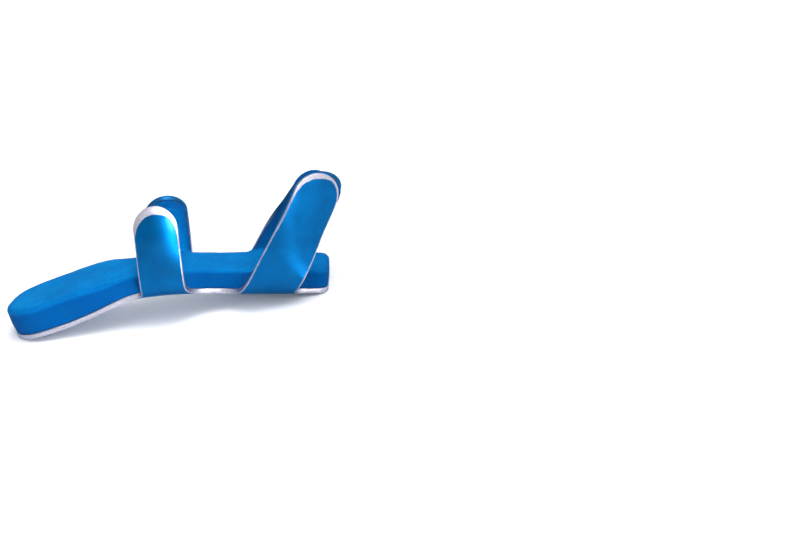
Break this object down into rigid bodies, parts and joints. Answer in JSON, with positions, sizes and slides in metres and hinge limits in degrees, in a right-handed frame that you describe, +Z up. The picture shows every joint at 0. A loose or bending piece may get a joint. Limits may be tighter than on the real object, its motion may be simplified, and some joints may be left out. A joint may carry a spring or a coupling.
{
  "type": "finger splint",
  "caption": "Padded finger splint: a bent blue aluminium plate with a foam-lined tongue under the fingertip and pairs of prongs that fold round the finger, open on top.",
  "frame": {"origin": "centre of the footprint, on the surface that the splint rests on", "axes": "+Z up, X along the finger with the fingertip towards -X, Y across the finger"},
  "size_m": [0.0866, 0.0268, 0.0319],
  "materials": {
    "coated_aluminium": "glossy metallic blue coat on the outer face, bare bright edges",
    "foam": "matte blue closed-cell foam"
  },
  "bodies": {
    "root": {"aluminium_plate": "coated_aluminium", "foam_pad": "foam"}
  },
  "joints": []
}
